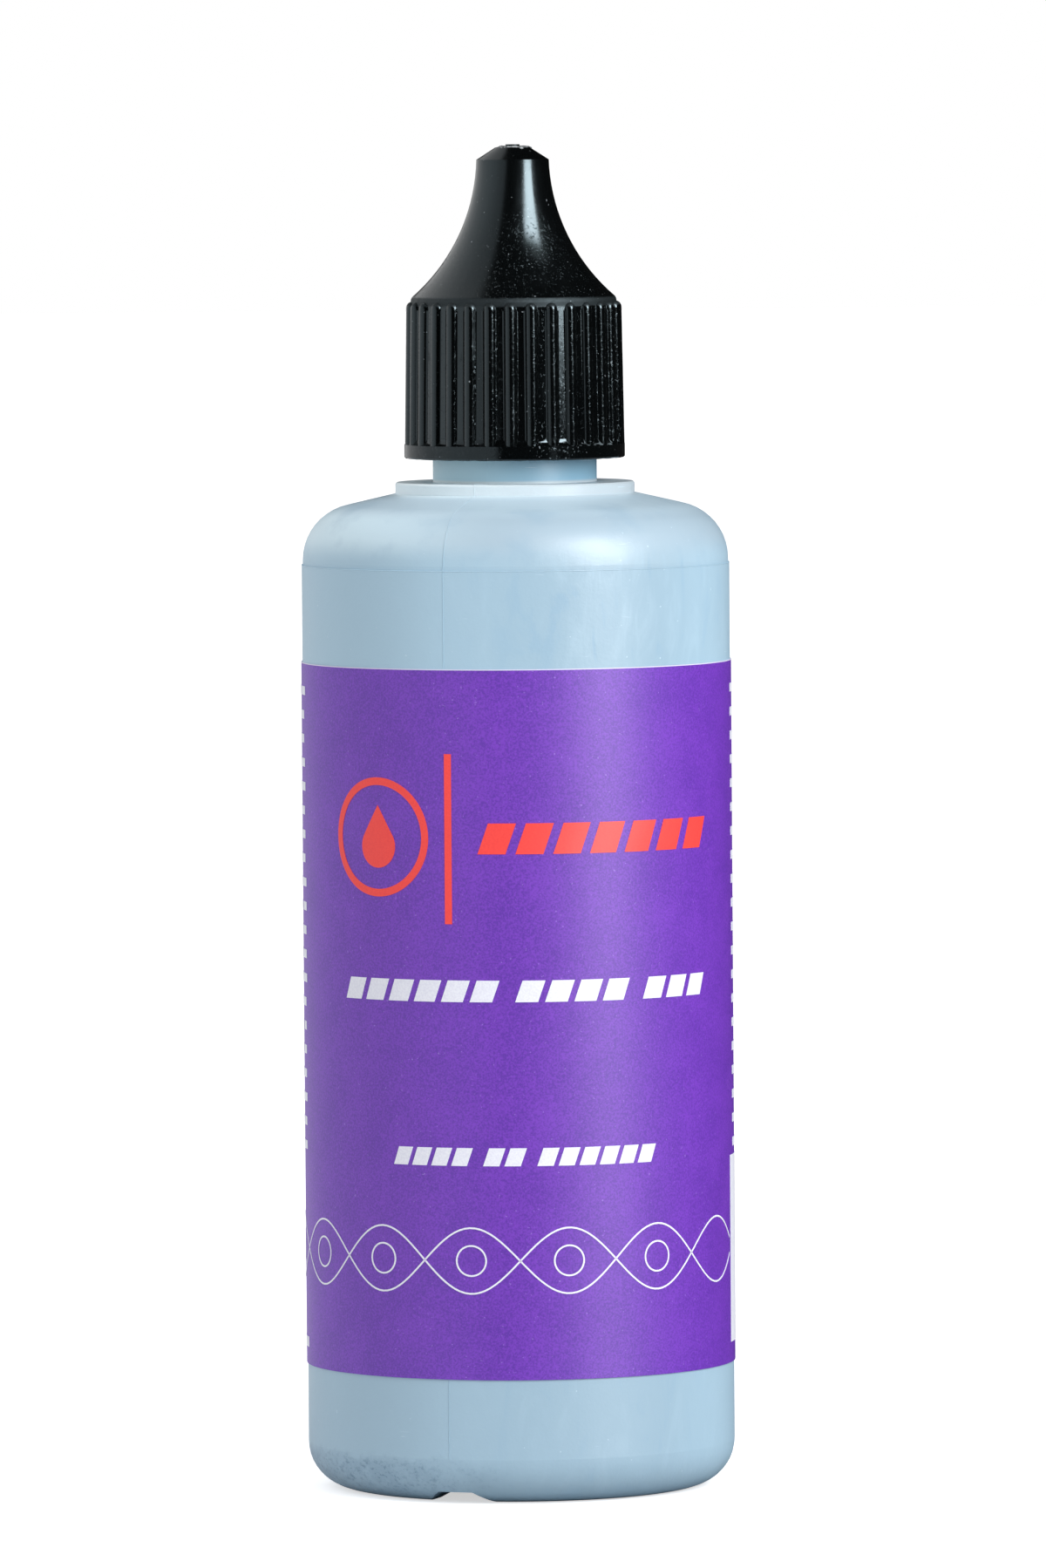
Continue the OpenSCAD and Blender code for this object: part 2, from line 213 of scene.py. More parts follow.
def makeBlackPlastic():
    look = capLook
    material, tree, shader, place = startMaterial("blackPlastic", look["roughness"], IOR=look["ior"],
                                                  Specular_Tint=look["sheen"])
    z = addNode(tree, "SeparateXYZ", {"Vector": place}).outputs["Z"]
    dust = share(tree, noise(tree, place, 3.1, 2.0, 0.5), 0.735, 0.76)
    tree.links.new(mixColour(tree, dust, look["black"], look["dust"]), shader.inputs["Base Color"])
    haze = noise(tree, stretched(tree, place, 1, 1, 0.35), 0.7, 4.0, 0.6)
    fromEdge = calc(tree, "ABSOLUTE", calc(tree, "SUBTRACT", z, look["edgeZ"]), 0.0)
    worn = share(tree, fromEdge, look["edgeWidth"], look["edgeWidth"] * 0.5, 0.0, look["edgeWear"])
    roughness = calc(tree, "ADD", share(tree, haze, 0.3, 0.75, 0.16, 0.23), worn)
    glossier = share(tree, z, look["edgeZ"] - 0.2, look["edgeZ"] - 0.6, 0.0, look["ribGloss"])
    roughness = calc(tree, "SUBTRACT", roughness, glossier)
    tree.links.new(roughness, shader.inputs["Roughness"])
    # Fine rings near the tip, pits below it, and on the skirt shallower pits and an uneven skin
    flow = noise(tree, stretched(tree, place, 0.2, 0.2, 2.2), 1.0, 3.0, 0.6)
    flow = calc(tree, "MULTIPLY", flow, share(tree, z, look["tipZ"] - 2.0, look["tipZ"] + 2.0))
    flow = calc(tree, "MULTIPLY", flow, look["ripple"])
    pits = share(tree, noise(tree, place, 3.6, 3.0, 0.65), 0.59, 0.68)
    pits = calc(tree, "MULTIPLY", pits, share(tree, z, look["tipZ"] + 1.0, look["tipZ"] - 2.0, 0.1, 1.0))
    pits = calc(tree, "MULTIPLY", pits, share(tree, z, look["edgeZ"] - 0.3, look["edgeZ"] + 0.5, 0.3, 1.0))
    pits = calc(tree, "MULTIPLY", pits, look["pit"])
    skin = noise(tree, stretched(tree, place, 1, 1, 0.5), 3.2, 3.0, 0.65)
    onSkirt = share(tree, z, look["edgeZ"] + 0.5, look["edgeZ"] - 0.3, 0.0, look["skin"])
    skin = calc(tree, "MULTIPLY", skin, onSkirt)
    addBump(tree, shader, calc(tree, "ADD", calc(tree, "ADD", flow, pits), skin), mm)
    return material


labelLook = {
    "purple": (0.186, 0.038, 0.530, 1),
    "purpleDark": (0.110, 0.022, 0.385, 1),
    "fleck": (0.360, 0.200, 0.700, 1),
    "edge": (0.70, 0.68, 0.85, 1),
    "edgeHeight": 0.09,    # mm of bare film along the top
    "roughness": 0.42, "ior": 1.60,
    "grain": 0.003 * mm,
}


def makePurpleFilm():
    look = labelLook
    material, tree, shader, place = startMaterial("purpleFilm", look["roughness"], IOR=look["ior"])
    z = addNode(tree, "SeparateXYZ", {"Vector": place}).outputs["Z"]
    dots = noise(tree, place, 5.2, 2.0, 0.6)
    patches = noise(tree, place, 0.25, 3.0, 0.5)
    grain = calc(tree, "ADD", calc(tree, "MULTIPLY", dots, 0.8), calc(tree, "MULTIPLY", patches, 0.2))
    colour = mixColour(tree, share(tree, grain, 0.36, 0.64), look["purpleDark"], look["purple"])
    flecks = share(tree, noise(tree, place, 3.4, 1.0, 0.5), 0.72, 0.78, 0.0, 0.5)
    colour = mixColour(tree, flecks, colour, look["fleck"])
    bareFrom = labelHigh.z / mm - look["edgeHeight"]
    bare = share(tree, z, bareFrom - 0.01, bareFrom + 0.01)
    colour = mixColour(tree, bare, colour, look["edge"])
    tree.links.new(colour, shader.inputs["Base Color"])
    addBump(tree, shader, dots, look["grain"])
    return material


def makePrint(name, colour, shade):
    material, tree, shader, place = startMaterial(name, labelLook["roughness"], IOR=labelLook["ior"])
    dots = share(tree, noise(tree, place, 5.2, 2.0, 0.6), 0.3, 0.7)
    tree.links.new(mixColour(tree, dots, shade, colour), shader.inputs["Base Color"])
    return material


nozzleLook = {
    "plain": (0.60, 0.64, 0.65, 1), "milky": (0.70, 0.74, 0.75, 1),
    "roughness": 0.3, "ior": 1.51, "grain": 0.003 * mm,
}


def makeNaturalPlastic():
    look = nozzleLook
    material, tree, shader, place = startMaterial("naturalPlastic", look["roughness"], IOR=look["ior"])
    milk = noise(tree, place, 0.4, 4.0, 0.6)
    colour = mixColour(tree, share(tree, milk, 0.3, 0.7), look["plain"], look["milky"])
    tree.links.new(colour, shader.inputs["Base Color"])
    addBump(tree, shader, noise(tree, place, 3.0, 2.0), look["grain"])
    return material


waxLook = {"dark": (0.30, 0.42, 0.53, 1), "pale": (0.38, 0.50, 0.60, 1), "roughness": 0.25, "ior": 1.4}


def makeWax():
    look = waxLook
    material, tree, shader, place = startMaterial("wax", look["roughness"], IOR=look["ior"])
    swirl = noise(tree, place, 0.2, 4.0, 0.6, 1.0)
    colour = mixColour(tree, share(tree, swirl, 0.3, 0.7), look["dark"], look["pale"])
    tree.links.new(colour, shader.inputs["Base Color"])
    return material


tornLook = {
    "black": (0.02, 0.023, 0.026, 1), "stressed": (0.45, 0.48, 0.50, 1),
    "roughness": 0.45, "ior": 1.5, "grain": 0.05 * mm,
}


def makeTornPlastic():
    look = tornLook
    material, tree, shader, place = startMaterial("tornPlastic", look["roughness"], IOR=look["ior"])
    stress = noise(tree, place, 3.0, 4.0, 0.7)
    colour = mixColour(tree, share(tree, stress, 0.40, 0.62), look["black"], look["stressed"])
    tree.links.new(colour, shader.inputs["Base Color"])
    addBump(tree, shader, stress, look["grain"])
    return material


milkyPlastic = makeMilkyPlastic()
blackPlastic = makeBlackPlastic()
purpleFilm = makePurpleFilm()
tornPlastic = makeTornPlastic()
coralPrint = makePrint("coralPrint", (0.97, 0.058, 0.046, 1), (0.92, 0.048, 0.042, 1))
whitePrint = makePrint("whitePrint", (0.86, 0.88, 0.96, 1), (0.78, 0.79, 0.90, 1))
finishes = {
    "bottle": milkyPlastic,
    "cap": blackPlastic,
    "label": purpleFilm,
    "nozzle_insert": makeNaturalPlastic(),
    "wax_fill": makeWax(),
}
for nodeName, finish in finishes.items():
    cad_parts[nodeName].material_slots[0].material = finish
print("materials are on the packed pieces")


# Modelling helpers
def startPiece(name):  # the primitive that was just added
    piece = bpy.context.active_object
    piece.name = name
    piece.data.name = name
    return piece


def clearSelection():
    if bpy.context.mode != "OBJECT":
        bpy.ops.object.mode_set(mode="OBJECT")
    bpy.ops.object.select_all(action="DESELECT")


def applyModifier(piece, kind, **settings):
    clearSelection()
    piece.select_set(True)
    bpy.context.view_layer.objects.active = piece
    modifier = piece.modifiers.new(kind.title(), kind)
    for key, value in settings.items():
        setattr(modifier, key, value)
    bpy.ops.object.modifier_apply(modifier=modifier.name)


def joinPieces(pieces, name):
    clearSelection()
    for piece in pieces:
        piece.select_set(True)
    bpy.context.view_layer.objects.active = pieces[0]
    bpy.ops.object.join()
    return startPiece(name)


def finishPiece(piece, body, material, smoothAngle=35):
    clearSelection()
    piece.select_set(True)
    bpy.context.view_layer.objects.active = piece
    bpy.ops.object.transform_apply(location=True, rotation=True, scale=True)
    bpy.ops.object.shade_smooth_by_angle(angle=math.radians(smoothAngle))
    piece.data.materials.clear()
    piece.data.materials.append(material)
    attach(piece, body)


# Print: flat shapes modelled on the ground, x along the label and y up it, then wrapped
printSheet = {
    "proud": 0.03 * mm,
    "step": 0.5 * mm,      # longest stretch along the label between two points
}


def wrapOnLabel(piece):
    for vertex in piece.data.vertices:
        bearing = math.degrees(vertex.co.x / labelR)
        vertex.co = atBearing(bearing, labelR + printSheet["proud"], vertex.co.y)
    applyModifier(piece, "SOLIDIFY", thickness=printSheet["proud"], offset=-1)


def flatBar(left, low, width, height, slant=0.0):  # slant is how far the top leans to the right
    clearSelection()
    count = max(1, math.ceil(width / printSheet["step"]))
    bpy.ops.mesh.primitive_grid_add(x_subdivisions=count, y_subdivisions=1, size=1)
    bar = startPiece("bar")
    for vertex in bar.data.vertices:
        up = (vertex.co.y + 0.5) * height
        along = (vertex.co.x + 0.5) * width
        vertex.co = (left + along + slant * up / height, low + up, 0)
    return bar


def flatRing(x, y, radius, width, vertices=72):
    clearSelection()
    bpy.ops.mesh.primitive_circle_add(vertices=vertices, radius=radius, fill_type="NGON", location=(x, y, 0))
    ring = startPiece("ring")
    bpy.ops.object.transform_apply(location=True)
    bpy.ops.object.mode_set(mode="EDIT")
    bpy.ops.mesh.select_all(action="SELECT")
    bpy.ops.mesh.inset(thickness=width)
    bpy.ops.mesh.delete(type="FACE")
    bpy.ops.object.mode_set(mode="OBJECT")
    return ring


def flatDrop(x, y, radius, tip):  # a round drop whose point stands tip above its middle
    clearSelection()
    bpy.ops.mesh.primitive_grid_add(x_subdivisions=8, y_subdivisions=28, size=1)
    drop = startPiece("drop")
    touchY = radius * radius / tip  # where the straight flanks leave the circle
    touchX = math.sqrt(radius * radius - touchY * touchY)
    for vertex in drop.data.vertices:
        rise = (1 - math.cos((vertex.co.y + 0.5) * math.pi)) / 2
        up = -radius + rise * (radius + tip)
        if up > touchY:
            half = touchX * (tip - up) / (tip - touchY)
        else:
            half = math.sqrt(max(0.0, radius * radius - up * up))
        vertex.co = (x + vertex.co.x * 2 * half, y + up, 0)
    bpy.ops.object.mode_set(mode="EDIT")
    bpy.ops.mesh.select_all(action="SELECT")
    bpy.ops.mesh.remove_doubles(threshold=0.01 * mm)
    bpy.ops.object.mode_set(mode="OBJECT")
    return drop


def flatWave(left, right, middle, height, length, width, phase):  # a sine line of even width
    clearSelection()
    count = math.ceil((right - left) / printSheet["step"])
    bpy.ops.mesh.primitive_grid_add(x_subdivisions=count, y_subdivisions=1, size=1)
    wave = startPiece("wave")
    for vertex in wave.data.vertices:
        along = left + (vertex.co.x + 0.5) * (right - left)
        turn = math.pi * along / length + phase
        slope = height * math.pi / length * math.cos(turn)
        stretch = math.sqrt(1 + slope * slope)
        vertex.co = (along, middle + height * math.sin(turn) + vertex.co.y * width * stretch, 0)
    return wave


frontPrint = {
    "emblemX": -14.7, "emblemY": 64.9, "emblemR": 5.8, "emblemLine": 0.75,
    "dropR": 2.1, "dropTip": 4.0, "dropFall": -0.9,
    "ruleX": -7.2, "ruleY": 56.6, "ruleWidth": 0.72, "ruleHeight": 16.5,
    "nameLeft": -3.9, "nameRight": 22.0, "nameY": 64.9, "nameHeight": 3.0,
    "captionLeft": -19.3, "captionRight": 21.6, "captionY": 50.1, "captionHeight": 2.1,
    "footLeft": -13.0, "footRight": 14.3, "footY": 34.0, "footHeight": 1.75,
    "lean": 0.35,          # lean of a dash as a share of its height
}
dashGroups = {             # how many dashes stand together, and the gaps as shares of one dash
    "name": {"groups": (7,), "gap": 0.35, "space": 1.2},
    "caption": {"groups": (6, 4, 3), "gap": 0.3, "space": 1.0},
    "foot": {"groups": (4, 2, 6), "gap": 0.3, "space": 1.0},
}


def dashRow(p, name):  # a row of slanted dashes in groups
    groups, gap, space = dashGroups[name].values()
    left, height = p[name + "Left"], p[name + "Height"]
    slant = p["lean"] * height
    count = sum(groups)
    units = count + gap * (count - len(groups)) + space * (len(groups) - 1)
    dash = (p[name + "Right"] - left - slant) / units
    dashes = []
    x = left
    for group in groups:
        for number in range(group):
            dashes.append(flatBar(x, p[name + "Y"] - height / 2, dash, height, slant))
            x += dash * (1 + gap)
        x += dash * (space - gap)
    return dashes


def makeFrontPrint():
    p = {key: value * mm if key != "lean" else value for key, value in frontPrint.items()}
    coral = [
        flatRing(p["emblemX"], p["emblemY"], p["emblemR"], p["emblemLine"]),
        flatDrop(p["emblemX"], p["emblemY"] + p["dropFall"], p["dropR"], p["dropTip"]),
        flatBar(p["ruleX"], p["ruleY"], p["ruleWidth"], p["ruleHeight"]),
    ]
    coral += dashRow(p, "name")
    white = dashRow(p, "caption") + dashRow(p, "foot")
    for name, shapes, finish in (("print_coral", coral, coralPrint), ("print_white", white, whitePrint)):
        sheet = joinPieces(shapes, name)
        wrapOnLabel(sheet)
        finishPiece(sheet, "bottle", finish)


# A level braid of two thin lines with a small ring in each of its cells
braid = {
    "middle": 23.9, "height": 3.2, "cell": 9.6, "line": 0.17, "ringR": 1.55,
    "firstBearing": -172.0, "lastBearing": 76.0,
}


def makeBraid():
    left = math.radians(braid["firstBearing"]) * labelR
    right = math.radians(braid["lastBearing"]) * labelR
    cell = braid["cell"] * mm
    middle = braid["middle"] * mm
    shapes = [
        flatWave(left, right, middle, braid["height"] * mm, cell, braid["line"] * mm, phase)
        for phase in (0, math.pi)
    ]
    for number in range(math.ceil(left / cell), math.floor(right / cell)):
        shapes.append(flatRing((number + 0.5) * cell, middle, braid["ringR"] * mm, braid["line"] * mm, 40))
    sheet = joinPieces(shapes, "print_braid")
    wrapOnLabel(sheet)
    finishPiece(sheet, "bottle", whitePrint)


# Small print at the sides, as plain dashes, and a blank white field
sidePrint = {
    "rightFirst": 81.5, "rightLast": 158.0, "leftFirst": -158.0, "leftLast": -78.0,
    "rowTop": 79.0, "rowPitch": 2.35, "rowHeight": 0.85, "rows": 20,
    "wordMin": 1.2, "wordMax": 5.5, "wordGap": 0.7,
    "ragged": 0.9,         # mm by which the rows on the left start unevenly
    "shortEvery": 5, "shortRow": 0.35, "fullRow": 0.86,    # every fifth row ends a paragraph
    "fieldLeft": 77.5, "fieldRight": 150.0, "fieldLow": 14.3, "fieldHigh": 32.7,
    "blockLeft": -96.0, "blockRight": -80.0, "blockLow": 14.0, "blockHigh": 15.0,
    "seed": 11,
}


def makeSidePrint():
    p = sidePrint
    draw = random.Random(p["seed"])
    shapes = []
    sides = ((p["rightFirst"], p["rightLast"], False), (p["leftFirst"], p["leftLast"], True))
    for first, last, pushRight in sides:
        start = math.radians(first) * labelR / mm
        end = math.radians(last) * labelR / mm
        for row in range(p["rows"]):
            y = p["rowTop"] - row * p["rowPitch"] - p["rowHeight"]
            used = draw.uniform(0.0, p["ragged"]) if pushRight else 0.0
            isShort = row % p["shortEvery"] == p["shortEvery"] - 1
            limit = (end - start) * (p["shortRow"] if isShort else draw.uniform(p["fullRow"], 1.0))
            while used < limit - p["wordMin"]:
                word = min(draw.uniform(p["wordMin"], p["wordMax"]), limit - used)
                x = end - used - word if pushRight else start + used
                shapes.append(flatBar(x * mm, y * mm, word * mm, p["rowHeight"] * mm))
                used += word + p["wordGap"]
    for name in ("field", "block"):
        left = math.radians(p[name + "Left"]) * labelR
        width = math.radians(p[name + "Right"] - p[name + "Left"]) * labelR
        shapes.append(flatBar(left, p[name + "Low"] * mm, width, (p[name + "High"] - p[name + "Low"]) * mm))
    sheet = joinPieces(shapes, "print_sides")
    wrapOnLabel(sheet)
    finishPiece(sheet, "bottle", whitePrint)


makeFrontPrint()
makeBraid()
makeSidePrint()
print("the print is on the label")

# Threads: a ridge swept up a helix, its ends run out into the wall
threads = {
    "neck": {"root": 7.95, "crest": 8.85, "foot": 1.25, "land": 0.55, "start": 107.8, "turns": 1.6},
    "cap": {"root": 9.25, "crest": 8.30, "foot": 1.25, "land": 0.55, "start": 103.3, "turns": 2.0},
    "pitch": 3.0,
    "runOut": 30.0,        # degrees over which an end fades out
    "stepsPerTurn": 72,
}


def makeThread(name, body, material, size):
    clearSelection()
    bpy.ops.mesh.primitive_plane_add(size=1)
    ridge = startPiece(name)
    bpy.ops.object.mode_set(mode="EDIT")
    bpy.ops.mesh.delete(type="ONLY_FACE")
    bpy.ops.object.mode_set(mode="OBJECT")
    corners = {
        (-1, -1): (size["root"], -size["foot"] / 2), (1, -1): (size["crest"], -size["land"] / 2),
        (1, 1): (size["crest"], size["land"] / 2), (-1, 1): (size["root"], size["foot"] / 2),
    }
    for vertex in ridge.data.vertices:
        radius, rise = corners[(round(vertex.co.x * 2), round(vertex.co.y * 2))]
        vertex.co = (radius * mm, 0, (size["start"] + rise) * mm)
    steps = round(threads["stepsPerTurn"] * size["turns"])
    turn = 2 * math.pi * size["turns"]
    applyModifier(ridge, "SCREW", angle=turn, steps=steps, render_steps=steps,
                  screw_offset=threads["pitch"] * size["turns"] * mm, use_merge_vertices=False)
    fade = threads["runOut"] / 360 / size["turns"] * steps
    root = size["root"] * mm
    for number, vertex in enumerate(ridge.data.vertices):
        step = number // len(corners)
        keep = min(1.0, step / fade, (steps - step) / fade)
        radius = math.hypot(vertex.co.x, vertex.co.y)
        scale = (root + (radius - root) * math.sin(keep * math.pi / 2)) / radius
        vertex.co.x *= scale
        vertex.co.y *= scale
    bpy.ops.object.mode_set(mode="EDIT")
    bpy.ops.mesh.select_all(action="SELECT")
    bpy.ops.mesh.fill_holes(sides=len(corners))
    bpy.ops.mesh.normals_make_consistent(inside=False)
    bpy.ops.object.mode_set(mode="OBJECT")
    finishPiece(ridge, body, material)


makeThread("neck_thread", "bottle", milkyPlastic, threads["neck"])
makeThread("cap_thread", "cap", blackPlastic, threads["cap"])
print("the threads are in place")

# Flash along the mould's parting line, as a fine ridge that follows the bottle's outline
outline = {
    "bearing": -19.6,
    "baseZ": 4.5, "mouldZ": 90.8, "cornerX": 15.39, "cornerZ": 91.24, "cornerR": 5.5, "fall": 13.0,
    "collarR": 11.75, "collarLow": 97.75, "collarTop": 98.85, "neckR": 8.05,
    "neckStop": 0.3,       # mm below the bottle's top edge, where the flash ends
    "arcStep": 6,          # degrees between two points on the shoulder's corner
    "ridge": 0.020 * mm, "ring": 0.060 * mm, "ringDrop": 0.03, "ringSunk": 0.6,
}


def bottleOutline():  # radius and height in millimetres, from the base corner up to the neck
    o = outline
    points = [(bodyR / mm, o["baseZ"]), (bodyR / mm, o["mouldZ"])]
    for angle in range(0, 91 - round(o["fall"]), o["arcStep"]):
        turn = math.radians(angle)
        points.append((o["cornerX"] + o["cornerR"] * math.cos(turn),
                       o["cornerZ"] + o["cornerR"] * math.sin(turn)))
    points += [(o["collarR"], o["collarLow"]), (o["collarR"], o["collarTop"]),
               (o["neckR"], o["collarTop"]), (o["neckR"], bottleHigh.z / mm - o["neckStop"])]
    return points


def makePartingRidge():
    lines = []
    for bearing in (outline["bearing"], outline["bearing"] + 180):
        clearSelection()
        bpy.ops.curve.primitive_nurbs_path_add()
        line = bpy.context.active_object
        line.data.splines.clear()
        points = bottleOutline()
        spline = line.data.splines.new("POLY")
        spline.points.add(len(points) - 1)
        for point, (radius, z) in zip(spline.points, points):
            point.co = (*atBearing(bearing, radius * mm, z * mm), 1)
        line.data.dimensions = "3D"
        line.data.bevel_depth = outline["ridge"]
        line.data.bevel_resolution = 1
        line.data.use_fill_caps = True
        bpy.ops.object.convert(target="MESH")
        lines.append(bpy.context.active_object)
    ridge = joinPieces(lines, "parting_ridge")
    finishPiece(ridge, "bottle", milkyPlastic)


def makeMouldRing():
    clearSelection()
    bpy.ops.mesh.primitive_torus_add(
        major_radius=bodyR - outline["ring"] * outline["ringSunk"], minor_radius=outline["ring"],
        major_segments=192, minor_segments=8,
        location=(0, 0, (outline["mouldZ"] - outline["ringDrop"]) * mm))
    finishPiece(startPiece("mould_ring"), "bottle", milkyPlastic)


# Torn gate on the tip and a thin ragged flash round the cap's lower edge
capMarks = {
    "scarR": 1.66, "scarTop": 131.92, "scarLow": 131.48, "rough": 0.16, "lumps": 14, "seed": 5,
    "flashR": 10.52, "flashTube": 0.055, "flashRough": 0.05, "flashRise": 0.02,
    "flashWaves": 12, "flashOut": 0.4, "flashUp": 0.5,     # shares of the roughness outwards and upwards
}


def makeGateScar():
    p = capMarks
    clearSelection()
    bpy.ops.mesh.primitive_ico_sphere_add(subdivisions=4, radius=1)
    scar = startPiece("gate_scar")
    draw = random.Random(p["seed"])
    lumps = [(draw.uniform(-1, 1), draw.uniform(-1, 1), draw.uniform(0.25, 0.5))
             for number in range(p["lumps"])]
    for vertex in scar.data.vertices:
        x, y, up = vertex.co
        torn = sum(math.exp(-((x - a) ** 2 + (y - b) ** 2) / c ** 2) for a, b, c in lumps) / 3
        height = max(0.0, up) ** 0.7 * min(1.0, 0.35 + 0.65 * torn)
        height += draw.uniform(-1, 1) * p["rough"] * max(0.0, up)
        angle = math.atan2(y, x)
        out = p["scarR"] * (1 + 0.12 * math.sin(5 * angle + 1) + 0.06 * math.sin(11 * angle))
        top = p["scarLow"] + (p["scarTop"] - p["scarLow"]) * min(1.0, height)
        vertex.co = (x * out * mm, y * out * mm, (top if up > 0 else p["scarLow"] + 0.1 * up) * mm)
    finishPiece(scar, "cap", tornPlastic, 50)


def makeRimFlash():
    p = capMarks
    clearSelection()
    bpy.ops.mesh.primitive_torus_add(
        major_radius=p["flashR"] * mm, minor_radius=p["flashTube"] * mm, major_segments=260, minor_segments=6,
        location=(0, 0, capLow.z + p["flashRise"] * mm))
    flash = startPiece("rim_flash")
    draw = random.Random(p["seed"])
    waves = [(draw.randint(5, 70), draw.uniform(0, 6.28), draw.uniform(0.2, 1))
             for number in range(p["flashWaves"])]
    for vertex in flash.data.vertices:
        angle = math.atan2(vertex.co.y, vertex.co.x)
        swing = sum(size * math.sin(count * angle + start) for count, start, size in waves) / 4
        out = 1 + swing * p["flashRough"] * p["flashOut"] / p["flashR"]
        vertex.co.x *= out
        vertex.co.y *= out
        vertex.co.z += max(-0.5, min(1.0, swing)) * p["flashRough"] * mm * p["flashUp"]
    finishPiece(flash, "cap", blackPlastic)


makePartingRidge()
makeMouldRing()
makeGateScar()
makeRimFlash()
print("the mould's marks are in place")

# Stage
studio = {
    "ambient": 0.86, "ambientShade": 0.40, "ceiling": 1.35,
    "shadedFrom": -18.0, "shadedTo": 195.0,   # bearings between which the studio is dark
    "shade": 0.013, "softness": 0.06, "overhead": 0.35,   # the dark part widens towards the ceiling
    "nearLevel": 0.50, "nearWidth": 0.95,     # next to the dark part the studio is still a little dim
    "lampBearing": 49.0,
    "panel": {"distance": 1.20, "rise": 29.0, "width": 0.58, "height": 1.00, "radiance": 8.0,
              "glossOnly": False},
    "core": {"distance": 1.15, "rise": 25.5, "width": 0.46, "height": 0.93, "radiance": 8.5,
             "glossOnly": True},
}
floorLook = {
    "size": 12.0, "colour": (0.86, 0.86, 0.87, 1),
    "lift": 0.58, "glossShade": 0.025, "bounce": 0.72,
}


def darkSide(tree, direction):
    fromLeft = atBearing(studio["shadedFrom"] + 90, 1, studio["overhead"])
    fromRight = atBearing(studio["shadedTo"] - 90, 1, 0)
    soft = studio["softness"]
    left, right = [
        addNode(tree, "VectorMath", {0: direction, 1: side}, operation="DOT_PRODUCT").outputs["Value"]
        for side in (fromLeft, fromRight)
    ]
    dark = calc(tree, "MAXIMUM", share(tree, left, -soft, soft), share(tree, right, 0, 2 * soft))
    return dark, left


def makeFloor():
    clearSelection()
    bpy.ops.mesh.primitive_plane_add(size=floorLook["size"])
    floor = startPiece("floor")
    material = bpy.data.materials.new("palePaper")
    material.use_nodes = True
    tree = material.node_tree
    tree.nodes.remove(tree.nodes["Principled BSDF"])
    path = tree.nodes.new("ShaderNodeLightPath").outputs
    direction = addNode(tree, "VectorMath", {0: tree.nodes.new("ShaderNodeTexCoord").outputs["Object"]},
                        operation="NORMALIZE").outputs["Vector"]
    hidden = calc(tree, "MULTIPLY", darkSide(tree, direction)[0], path["Is Glossy Ray"])
    shade = (floorLook["glossShade"], floorLook["glossShade"], floorLook["glossShade"], 1)
    colour = mixColour(tree, hidden, floorLook["colour"], shade)
    dim = tuple(channel * floorLook["bounce"] for channel in floorLook["colour"][:3]) + (1,)
    colour = mixColour(tree, path["Is Diffuse Ray"], colour, dim)
    paper = addNode(tree, "BsdfDiffuse", {"Color": colour})
    lift = calc(tree, "MULTIPLY", path["Is Camera Ray"], floorLook["lift"])
    seen = addNode(tree, "Emission", {"Color": (1, 1, 1, 1), "Strength": lift})
    both = addNode(tree, "AddShader", {0: paper.outputs["BSDF"], 1: seen.outputs["Emission"]})
    tree.links.new(both.outputs["Shader"], tree.nodes["Material Output"].inputs["Surface"])
    floor.data.materials.append(material)


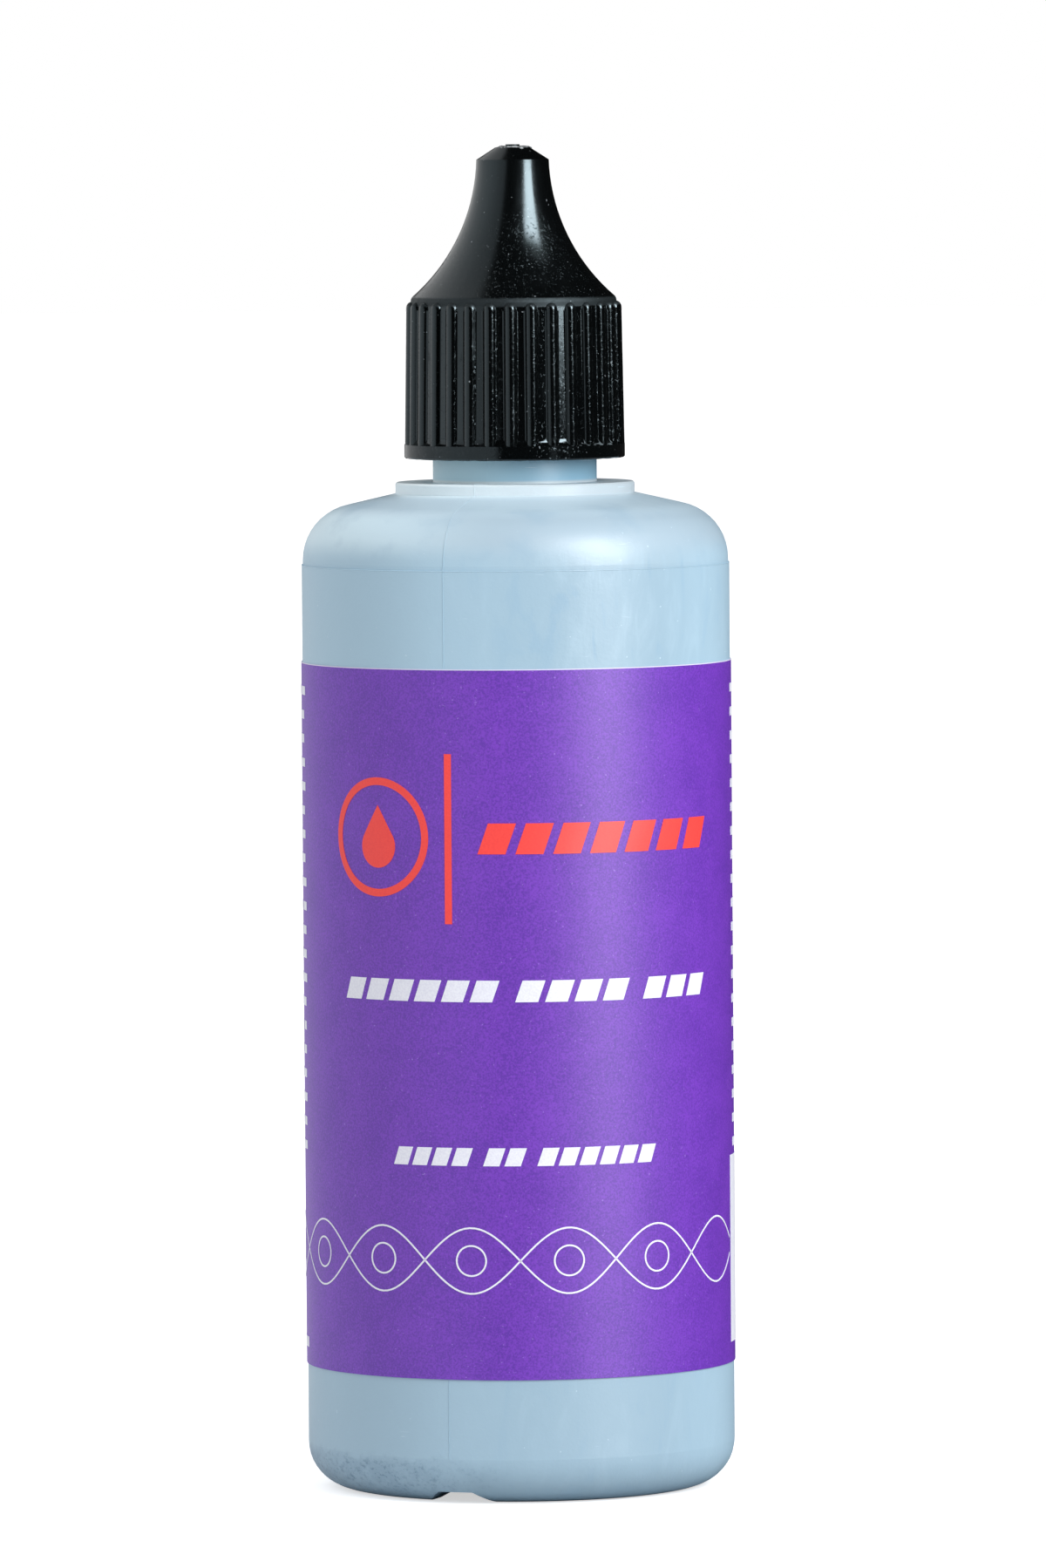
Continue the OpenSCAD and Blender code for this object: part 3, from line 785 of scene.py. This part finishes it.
def makeWorld():
    world = bpy.data.worlds.new("studio")
    bpy.context.scene.world = world
    world.use_nodes = True
    tree = world.node_tree
    background = tree.nodes["Background"]
    background.inputs["Color"].default_value = (1, 1, 1, 1)
    path = tree.nodes.new("ShaderNodeLightPath").outputs
    direction = tree.nodes.new("ShaderNodeTexCoord").outputs["Generated"]
    dark, left = darkSide(tree, direction)
    near = share(tree, left, -studio["nearWidth"], 0, 1.0, studio["nearLevel"])
    glossy = calc(tree, "MULTIPLY", near, share(tree, dark, 0, 1, 1.0, studio["shade"]))
    strength = calc(tree, "MULTIPLY", path["Is Glossy Ray"], glossy)
    strength = calc(tree, "ADD", strength, path["Is Camera Ray"])
    strength = calc(tree, "ADD", strength, path["Is Transmission Ray"])
    diffuse = share(tree, dark, 0, 1, studio["ambient"], studio["ambientShade"])
    up = addNode(tree, "SeparateXYZ", {"Vector": direction}).outputs["Z"]
    diffuse = calc(tree, "MULTIPLY", diffuse, share(tree, up, 0.1, 0.9, 1.0, studio["ceiling"]))
    lit = calc(tree, "MULTIPLY", path["Is Diffuse Ray"], diffuse)
    tree.links.new(calc(tree, "ADD", strength, lit), background.inputs["Strength"])


def makeLamp(name):
    size = studio[name]
    light = bpy.data.lights.new(name, "AREA")
    light.shape = "RECTANGLE"
    light.size = size["width"]
    light.size_y = size["height"]
    light.energy = size["radiance"] * math.pi * size["width"] * size["height"]
    lamp = bpy.data.objects.new(name, light)
    rise = math.radians(size["rise"])
    aim = Vector((0, 0, bottleHigh.z / 2))
    away = atBearing(studio["lampBearing"], math.cos(rise), math.sin(rise))
    lamp.location = aim + away * size["distance"]
    lamp.rotation_euler = away.to_track_quat("Z", "Y").to_euler()
    lamp.visible_camera = False
    lamp.visible_diffuse = not size["glossOnly"]
    bpy.context.scene.collection.objects.link(lamp)


view = {
    "lens": 304.17, "sensor": 36,    # mm
    "distance": 1.3026, "tilt": 3.15, "roll": -0.415, "aimHeight": 0.06905, "aside": 0.000583,
}


def makeCamera():
    tilt = math.radians(view["tilt"])
    cameraData = bpy.data.cameras.new("camera")
    cameraData.lens = view["lens"]
    cameraData.sensor_width = view["sensor"]
    camera = bpy.data.objects.new("camera", cameraData)
    camera.location = (view["aside"], -view["distance"] * math.cos(tilt),
                       view["aimHeight"] + view["distance"] * math.sin(tilt))
    upright = Matrix.Rotation(math.pi / 2 - tilt, 3, "X")
    camera.rotation_euler = (upright @ Matrix.Rotation(math.radians(view["roll"]), 3, "Z")).to_euler()
    bpy.context.scene.collection.objects.link(camera)
    bpy.context.scene.camera = camera


makeFloor()
makeWorld()
makeLamp("panel")
makeLamp("core")
makeCamera()
bpy.context.scene.view_settings.view_transform = "Standard"
print("the stage is set")
